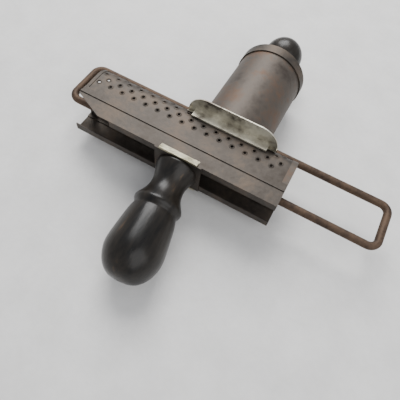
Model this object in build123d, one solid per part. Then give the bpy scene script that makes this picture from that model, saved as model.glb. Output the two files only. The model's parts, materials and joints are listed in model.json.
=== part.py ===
from build123d import *
import os
from math import sin, cos, radians, pi

# Sliding nutmeg grater, millimetres. X runs along the grater body,
# +Y from the body to the hopper and knob, +Z up.
half_w, crown_y, shoulder_r = 8.5, -2.3, 8.0      # grater arch
sheet_t = 0.5
body_x0, body_x1 = -66.0, 32.5
foot_y, lip_y, lip_w = -22.3, -30.4, 3.1
pitch, row_step, hole_d, first_row = 6.1, 3.05, 1.4, 8.6
holes_per_row, row_a_x, row_b_x = 15, -62.6, -59.55
wire_r = 1.72
loop_x0, loop_x1, loop_y, loop_corner = -73.75, 75.1, -21.75, 4.0
gap = 0.32                                         # sliding clearance
saddle_hx, wing_y, wing_z = 21.5, -4.0, 16.85
tube_r, tube_t, tube_top = 16.25, 0.5, 43.5
rod_r, knob_r, knob_y = 2.0, 9.8, 59.3
handle_x, handle_y, lean, droop = -12.0, -31.0, 5.5, 6.3

def block(x0, x1, y0, y1, z0, z1):
    return Pos((x0+x1)/2, (y0+y1)/2, (z0+z1)/2) * Box(x1-x0, y1-y0, z1-z0)

def loaf(off, y0, x0, x1):
    b = block(x0, x1, -60, crown_y+off, -half_w-off, half_w+off)
    e = b.edges().filter_by(Axis.X).sort_by(Axis.Y)[-2:]
    return fillet(e, shoulder_r+off) & block(x0-1, x1+1, y0, 10, -40, 40)

def shell(o_in, o_out, y0, x0, x1):
    return loaf(o_out, y0, x0, x1) - loaf(o_in, y0-5, x0-1, x1+1)

def ycyl(r, y0, y1, x=0, z=0):
    return Pos(x, (y0+y1)/2, z) * Rot(90, 0, 0) * Cylinder(r, y1-y0)

P = {}
# --- frame: perforated arch, channel, handle -------------------------------
sheet = shell(-sheet_t, 0, foot_y, body_x0, body_x1)
side = (crown_y-shoulder_r) - foot_y
arc = shoulder_r*pi/2
flat = 2*(half_w-shoulder_r)
total = 2*side + 2*arc + flat
def on_arch(s):
    # point (y, z) and outward angle from +Y towards +Z, s from the front foot
    cy, cz = crown_y-shoulder_r, half_w-shoulder_r
    if s <= side: return foot_y+s, half_w, 90
    if s <= side+arc:
        a = 90-(s-side)/shoulder_r*180/pi
        return cy+shoulder_r*cos(radians(a)), cz+shoulder_r*sin(radians(a)), a
    if s <= side+arc+flat: return crown_y, cz-(s-side-arc), 0
    y, z, a = on_arch(total-s)
    return y, -z, -a
holes = []
s, k = first_row, 0
while s <= total-first_row+0.5:
    y, z, a = on_arch(s)
    for i in range(holes_per_row):
        x = (row_a_x if k % 2 == 0 else row_b_x) + i*pitch
        holes.append(Pos(x, y, z) * Rot(a, 0, 0) * Rot(90, 0, 0) * Cylinder(hole_d/2, 2.4))
    s += row_step; k += 1
P["grater_sheet"] = sheet.cut(*holes)

ch = Part()
for sg in (1, -1):
    a, b = sorted((sg*half_w, sg*(half_w+sheet_t)))
    wall = block(body_x0, body_x1, lip_y, -19.0, a, b)
    a, b = sorted((sg*(half_w-lip_w), sg*half_w))
    lip = block(body_x0+(20 if sg > 0 else 0), body_x1, lip_y, lip_y+sheet_t, a, b)
    a, b = sorted((sg*(half_w+sheet_t), sg*(half_w+sheet_t+0.4)))
    ridge = block(body_x0, body_x1, -22.8, -21.8, a, b)
    w = wall + lip + ridge
    if sg > 0:      # the front flange's left end is cut back on a slant
        tri = Plane.XY * make_face(Polyline((body_x0-1, -23.2), (body_x0+16.5, lip_y-1), (body_x0-1, lip_y-1), (body_x0-1, -23.2)))
        w -= Pos(0, 0, 5) * extrude(tri, 6)
    P["body_flange_front" if sg > 0 else "body_flange_rear"] = w
floor = block(body_x0, body_x1, -19.7, -19.3, -half_w+sheet_t, half_w-sheet_t)
for i in range(5):
    floor -= block(body_x0+4+i*18.8, body_x0+19+i*18.8, -21, -18, -6, 6)
P["channel_floor"] = floor
P["end_bead_left"] = shell(0, 0.25, -18.9, body_x0, body_x0+1.5)
P["end_strip_right"] = shell(0, 0.25, -18.9, body_x1-2.7, body_x1)
plate = block(handle_x-11, handle_x+11, handle_y, lip_y, -9, 9)

# handle: turned profile on an axis that leans to +X and droops
prof = [(-3, 0), (-3, 9.2), (0, 9.75), (3, 8.6), (8, 6.9), (13, 7.6), (17, 10.2), (18.3, 10.7), (19.8, 10.3),
        (21, 9.2), (22.4, 10.0), (26.7, 10.8), (33, 11.7), (38.8, 12.5), (42.3, 12.25), (47.2, 10.4), (50.4, 7.4), (52, 4.5), (52, 0)]
outline = Polyline(*[(r, -d) for d, r in prof], close=True)
grip0 = revolve(make_face(outline), Axis.Y)
axis = Pos(handle_x, handle_y, 0) * Rot(0, 0, lean) * Rot(droop, 0, 0)
if (axis * Pos(0, -40, 0)).position.Z > 0:
    axis = Pos(handle_x, handle_y, 0) * Rot(0, 0, lean) * Rot(-droop, 0, 0)
screw = Pos(handle_x, handle_y, 0) * (ycyl(1.6, -22, 1.0) + ycyl(3.2, 1.1, 2.3)
        + ycyl(1.6, 0.9, 1.2) - block(-4, 4, 1.8, 3, -0.4, 0.4))
washer = ycyl(4.6, lip_y, lip_y+0.5, handle_x) - ycyl(1.6, -40, 0, handle_x)
P["handle_washer"] = washer
P["handle_screw"] = screw
P["handle_bracket"] = plate - ycyl(1.6, -40, 0, handle_x)
P["handle_grip"] = (axis * grip0) & block(-60, 60, -120, handle_y, -40, 40)
P["handle_grip"] = P["handle_grip"] - ycyl(1.6, handle_y-22, handle_y+1, handle_x)
for sg, nm in ((1, "front"), (-1, "rear")):
    t = Plane.YZ * make_face(Polyline((handle_y, sg*9), (-28.0, sg*9), (handle_y, sg*10.1), (handle_y, sg*9)))
    P["handle_solder_"+nm] = Pos(handle_x-9, 0, 0) * extrude(t, 18, dir=(1, 0, 0))

# --- carriage: wire loop, saddle, hopper tube ------------------------------
path = FilletPolyline((-16.7, 0, 0), (loop_x0, 0, 0), (loop_x0, loop_y, 0), (loop_x1, loop_y, 0),
                      (loop_x1, 0, 0), (16.7, 0, 0), radius=loop_corner)
P["wire_loop"] = sweep(Plane(origin=(-16.7, 0, 0), z_dir=(-1, 0, 0)) * Circle(wire_r), path=path)
wire_cut = Pos(0, 0, 0) * Rot(0, 90, 0) * Cylinder(wire_r, 90)
clear = loaf(gap, -40, -40, 40)
wings = block(-saddle_hx, saddle_hx, wing_y-0.5, wing_y, -wing_z, wing_z)
wv = wings.edges().filter_by(Axis.Y)
wings = fillet(wv, 9.0)
sides = block(-18, 18, -8.5, wing_y, -9.4, 9.4)
straps = shell(gap, gap+0.4, -6, -saddle_hx, -17.0) + shell(gap, gap+0.4, -6, 17.0, saddle_hx)
P["saddle"] = (wings + sides - clear) + (straps - wire_cut)
tube = ycyl(tube_r, wing_y, tube_top) - ycyl(tube_r-tube_t, wing_y-1, tube_top+1) - clear
P["hopper_tube"] = tube
ring = Pos(0, wing_y+0.75, 0) * Rot(-90, 0, 0) * Cone(17.9, tube_r, 1.5)
ring = (ring - ycyl(tube_r, -10, 10)) & block(-21, 21, -5, 0, -12, 12)
P["saddle_solder"] = ring - loaf(gap+0.4, -40, -40, 40) - Pos(0, 0, 0) * Rot(0, 90, 0) * Cylinder(wire_r, 90)
for sg, nm in ((-1, "left"), (1, "right")):
    blob = Pos(sg*19.6, 0, 0) * Rot(0, 90, 0) * Cylinder(2.5, 3.4)
    P["wire_solder_"+nm] = blob - wire_cut - loaf(gap+0.4, -40, -40, 40)

# --- cap and sprung plunger ------------------------------------------------
cap = ycyl(tube_r+0.6, 39.3, tube_top+0.7) - ycyl(tube_r+0.06, 38, tube_top+0.1) - ycyl(rod_r+0.08, 30, 50)
P["hopper_cap"] = cap
P["plunger_rod"] = ycyl(rod_r, 3.6, 55)
P["follower_disc"] = ycyl(15.2, 3.0, 3.6)
P["rod_rivet"] = ycyl(3.0, 2.2, 3.0)
P["knob_washer"] = ycyl(5.0, 49.2, 49.8) - ycyl(rod_r, 40, 60)
ball = Pos(0, knob_y, 0) * Sphere(knob_r)
ball = (ball & block(-20, 20, 49.8, 68.8, -20, 20)) + ycyl(4.6, 49.8, 52)
P["knob"] = ball - ycyl(rod_r, 40, 55)
# the coil spring as a stack of separate turns
rings = [Pos(0, 4.3+i*4.8, 0) * Rot(90, 0, 0) * Torus(7.0, 0.55) for i in range(9)]
P["pressure_spring"] = Compound(children=[r for r in rings])

bb = Compound(children=[Compound(children=list(v.solids())) for v in P.values()]).bounding_box()
shift = Pos(-(bb.min.X+bb.max.X)/2, -(bb.min.Y+bb.max.Y)/2, -bb.min.Z)
print("shift", shift.position, "size", bb.size)
os.makedirs("parts", exist_ok=True)
for name, v in P.items():
    sol = [shift * q for q in v.solids()]
    export_step(sol[0] if len(sol) == 1 else Compound(children=sol), "parts/"+name+".step")
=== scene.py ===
import bpy, bmesh, json, math
from mathutils import Matrix, Vector


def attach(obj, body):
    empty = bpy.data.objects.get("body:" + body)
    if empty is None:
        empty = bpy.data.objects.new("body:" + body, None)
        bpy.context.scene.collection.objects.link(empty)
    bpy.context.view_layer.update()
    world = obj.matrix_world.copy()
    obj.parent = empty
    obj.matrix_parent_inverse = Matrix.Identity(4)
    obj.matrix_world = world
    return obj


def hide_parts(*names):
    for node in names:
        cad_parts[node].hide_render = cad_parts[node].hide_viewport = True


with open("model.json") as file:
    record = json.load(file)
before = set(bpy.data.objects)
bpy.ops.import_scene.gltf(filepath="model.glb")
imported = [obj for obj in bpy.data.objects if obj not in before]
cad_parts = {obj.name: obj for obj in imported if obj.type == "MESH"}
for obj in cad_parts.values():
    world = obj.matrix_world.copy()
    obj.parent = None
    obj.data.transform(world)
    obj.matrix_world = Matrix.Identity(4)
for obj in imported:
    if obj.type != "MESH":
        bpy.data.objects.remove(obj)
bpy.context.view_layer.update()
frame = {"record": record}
MM = 0.001
S = Vector((-0.675, 7.001, 16.85))

def ramp_mat(name, cols, scale, rough, metal, bump, detail=8.0, stretch=(1, 1, 1), coat=0.0):
    m = bpy.data.materials.new(name); m.use_nodes = True
    nt = m.node_tree; b = nt.nodes["Principled BSDF"]
    tc = nt.nodes.new("ShaderNodeTexCoord"); mp = nt.nodes.new("ShaderNodeMapping")
    mp.inputs["Scale"].default_value = stretch
    nt.links.new(tc.outputs["Object"], mp.inputs["Vector"])
    n1 = nt.nodes.new("ShaderNodeTexNoise"); n1.inputs["Scale"].default_value = scale; n1.inputs["Detail"].default_value = detail
    n2 = nt.nodes.new("ShaderNodeTexNoise"); n2.inputs["Scale"].default_value = scale*6; n2.inputs["Detail"].default_value = 6
    for n in (n1, n2): nt.links.new(mp.outputs[0], n.inputs["Vector"])
    mix = nt.nodes.new("ShaderNodeMath"); mix.operation = "MULTIPLY_ADD"; mix.inputs[1].default_value = 0.4
    nt.links.new(n2.outputs[0], mix.inputs[0]); nt.links.new(n1.outputs[0], mix.inputs[2])
    cr = nt.nodes.new("ShaderNodeValToRGB"); nt.links.new(mix.outputs[0], cr.inputs[0])
    el = cr.color_ramp.elements
    while len(el) < len(cols): el.new(0.5)
    for e, (p, c) in zip(el, cols): e.position = p; e.color = (*c, 1)
    nt.links.new(cr.outputs[0], b.inputs["Base Color"])
    rr = nt.nodes.new("ShaderNodeMapRange"); rr.inputs["To Min"].default_value = rough[0]; rr.inputs["To Max"].default_value = rough[1]
    nt.links.new(mix.outputs[0], rr.inputs["Value"]); nt.links.new(rr.outputs[0], b.inputs["Roughness"])
    b.inputs["Metallic"].default_value = metal; b.inputs["Coat Weight"].default_value = coat
    bp = nt.nodes.new("ShaderNodeBump"); bp.inputs["Strength"].default_value = bump; bp.inputs["Distance"].default_value = 0.0003
    nt.links.new(n2.outputs[0], bp.inputs["Height"]); nt.links.new(bp.outputs[0], b.inputs["Normal"])
    return m

T = {
 "dark_tin": ramp_mat("dark_tin", [(0.45, (0.035, 0.028, 0.022)), (0.68, (0.062, 0.053, 0.045)), (0.92, (0.11, 0.085, 0.065))], 90, (0.35, 0.62), 0.75, 0.35),
 "rusty_tin": ramp_mat("rusty_tin", [(0.45, (0.05, 0.038, 0.03)), (0.68, (0.09, 0.075, 0.062)), (0.95, (0.14, 0.08, 0.05))], 70, (0.3, 0.7), 0.6, 0.4),
 "solder": ramp_mat("solder", [(0.45, (0.20, 0.18, 0.11)), (0.75, (0.55, 0.51, 0.38))], 160, (0.25, 0.5), 0.9, 0.6),
 "rusty_wire": ramp_mat("rusty_wire", [(0.45, (0.035, 0.022, 0.015)), (0.8, (0.11, 0.07, 0.045))], 200, (0.4, 0.75), 0.6, 0.5),
 "black_wood": ramp_mat("black_wood", [(0.5, (0.006, 0.0055, 0.005)), (0.85, (0.022, 0.018, 0.014)), (0.97, (0.07, 0.045, 0.025))], 60, (0.2, 0.36), 0.0, 0.2, stretch=(3, 0.4, 3), coat=0.0),
 "steel": ramp_mat("steel", [(0.45, (0.14, 0.12, 0.10)), (0.8, (0.32, 0.29, 0.25))], 150, (0.35, 0.55), 0.9, 0.3),
}
T["soldered_tin"] = ramp_mat("soldered_tin", [(0.5, (0.10, 0.085, 0.07)), (0.66, (0.42, 0.39, 0.31)), (0.85, (0.66, 0.63, 0.52))], 80, (0.3, 0.55), 0.7, 0.5)
slots = {s["node"]: s["material_slot"] for s in frame["record"]["subparts"]}
for node, sl in slots.items():
    o = bpy.data.objects.get(node)
    if o is None: continue
    if not o.material_slots: o.data.materials.append(T[sl])
    for ms in o.material_slots: ms.material = T[sl]

T["black_wood"].node_tree.nodes["Principled BSDF"].inputs["Specular IOR Level"].default_value = 0.28
def piece(name, bm, mat, body, smooth=True):
    me = bpy.data.meshes.new(name); bmesh.ops.recalc_face_normals(bm, faces=bm.faces); bm.to_mesh(me); bm.free()
    for p in me.polygons: p.use_smooth = smooth
    o = bpy.data.objects.new(name, me); bpy.context.scene.collection.objects.link(o)
    me.materials.append(mat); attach(o, body); return o

for ms in bpy.data.objects["saddle"].material_slots: ms.material = T["soldered_tin"]
# raised burrs round the holes of the arch
half_w, crown, R, foot = 8.5, -2.3, 8.0, -22.3
side, arc, flat = crown-R-foot, R*math.pi/2, 1.0
total = 2*side+2*arc+flat
def on_arch(s):
    cy, cz = crown-R, half_w-R
    if s <= side: return foot+s, half_w, 90
    if s <= side+arc:
        a = 90-(s-side)/R*180/math.pi
        return cy+R*math.cos(math.radians(a)), cz+R*math.sin(math.radians(a)), a
    if s <= side+arc+flat: return crown, cz-(s-side-arc), 0
    y, z, a = on_arch(total-s); return y, -z, -a
bm = bmesh.new(); s, k, N = 8.6, 0, 10
while s <= total-8.6+0.5:
    y, z, a = on_arch(s); ar = math.radians(a)
    nrm = Vector((0, math.cos(ar), math.sin(ar))); tan = Vector((0, -math.sin(ar), math.cos(ar))); ex = Vector((1, 0, 0))
    for i in range(15):
        c = Vector(((-62.6 if k % 2 == 0 else -59.55)+i*6.1, y, z))+S
        rings = []
        for r, h in ((1.35, -0.02), (0.98, 0.2), (0.8, 0.29), (0.7, 0.05)):
            rings.append([bm.verts.new((c+nrm*(h+(0.05*math.sin(3*j+i+k) if h > 0.25 else 0)-(0.04 if h > 0.25 else 0))+(ex*math.cos(2*math.pi*j/N)+tan*math.sin(2*math.pi*j/N))*r)*MM) for j in range(N)])
        for p, q in zip(rings, rings[1:]):
            for j in range(N): bm.faces.new((p[j], p[(j+1) % N], q[(j+1) % N], q[j]))
    s += 3.05; k += 1
piece("grating_burrs", bm, T["dark_tin"], "frame")

# turned handle as a smooth lathe on the CAD grip's axis
prof = [(-1.2, 0.01), (-1.2, 9.2), (0, 9.7), (3, 8.6), (8, 6.9), (13, 7.6), (17, 10.1), (18.3, 10.65), (19.8, 10.25), (21, 9.2), (22.4, 10.0),
        (26.7, 10.8), (33, 11.65), (38.8, 12.4), (42.3, 12.15), (47.2, 10.3), (50.4, 7.4), (51.9, 4.4), (51.9, 0.01)]
ln, dr = math.radians(5.5), math.radians(6.3)
ax = Vector((math.sin(ln)*math.cos(dr), -math.cos(ln)*math.cos(dr), -math.sin(dr)))
u = ax.cross(Vector((0, 0, 1))).normalized(); v = ax.cross(u)
bm = bmesh.new(); rings = []; NS = 48
org = Vector((-12, -31, 0))+S
for d, r in prof:
    rings.append([])
    for j in range(NS):
        p = org+ax*d+(u*math.cos(2*math.pi*j/NS)+v*math.sin(2*math.pi*j/NS))*r
        p.y = min(p.y, -31.0+S.y)
        rings[-1].append(bm.verts.new(p*MM))
for p, q in zip(rings, rings[1:]):
    for j in range(NS): bm.faces.new((p[j], p[(j+1) % NS], q[(j+1) % NS], q[j]))
h = piece("turned_handle", bm, T["black_wood"], "frame")
md = h.modifiers.new("s", "SUBSURF"); md.levels = md.render_levels = 2
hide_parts("handle_grip")

# floor, lights, camera
bpy.ops.mesh.primitive_plane_add(size=4, location=(0, 0, -0.0002)); fl = bpy.context.object; fl.name = "floor"
fl.data.materials.append(ramp_mat("floor_mat", [(0.4, (0.66, 0.65, 0.63)), (0.9, (0.76, 0.75, 0.73))], 60, (0.6, 0.8), 0.0, 0.3))
def light(n, loc, e, size):
    l = bpy.data.lights.new(n, "AREA"); l.energy = e; l.size = size
    o = bpy.data.objects.new(n, l); o.location = loc
    o.rotation_euler = (Vector((0, 0, 0.01))-Vector(loc)).to_track_quat("-Z", "Y").to_euler()
    bpy.context.scene.collection.objects.link(o)
light("key", (-0.25, 0.45, 0.6), 9, 0.5); light("fill", (0.5, -0.35, 0.6), 4, 0.8)
w = bpy.context.scene.world or bpy.data.worlds.new("w"); bpy.context.scene.world = w; w.use_nodes = True
w.node_tree.nodes["Background"].inputs[0].default_value = (0.9, 0.93, 1, 1); w.node_tree.nodes["Background"].inputs[1].default_value = 0.55
cam = bpy.data.cameras.new("cam"); cam.lens = 34.83; cam.sensor_width = 36; cam.clip_start = 0.01
co = bpy.data.objects.new("cam", cam); bpy.context.scene.collection.objects.link(co)
r, up, bk = (0.8744, 0.4784, 0.0841), (-0.4569, 0.7527, 0.4727), (0.1625, -0.4517, 0.8768)
M = Matrix((r, up, bk)).transposed().to_4x4(); M.translation = (Vector((29.6, -110.8, 139.8))+S)*MM
co.matrix_world = M; bpy.context.scene.camera = co
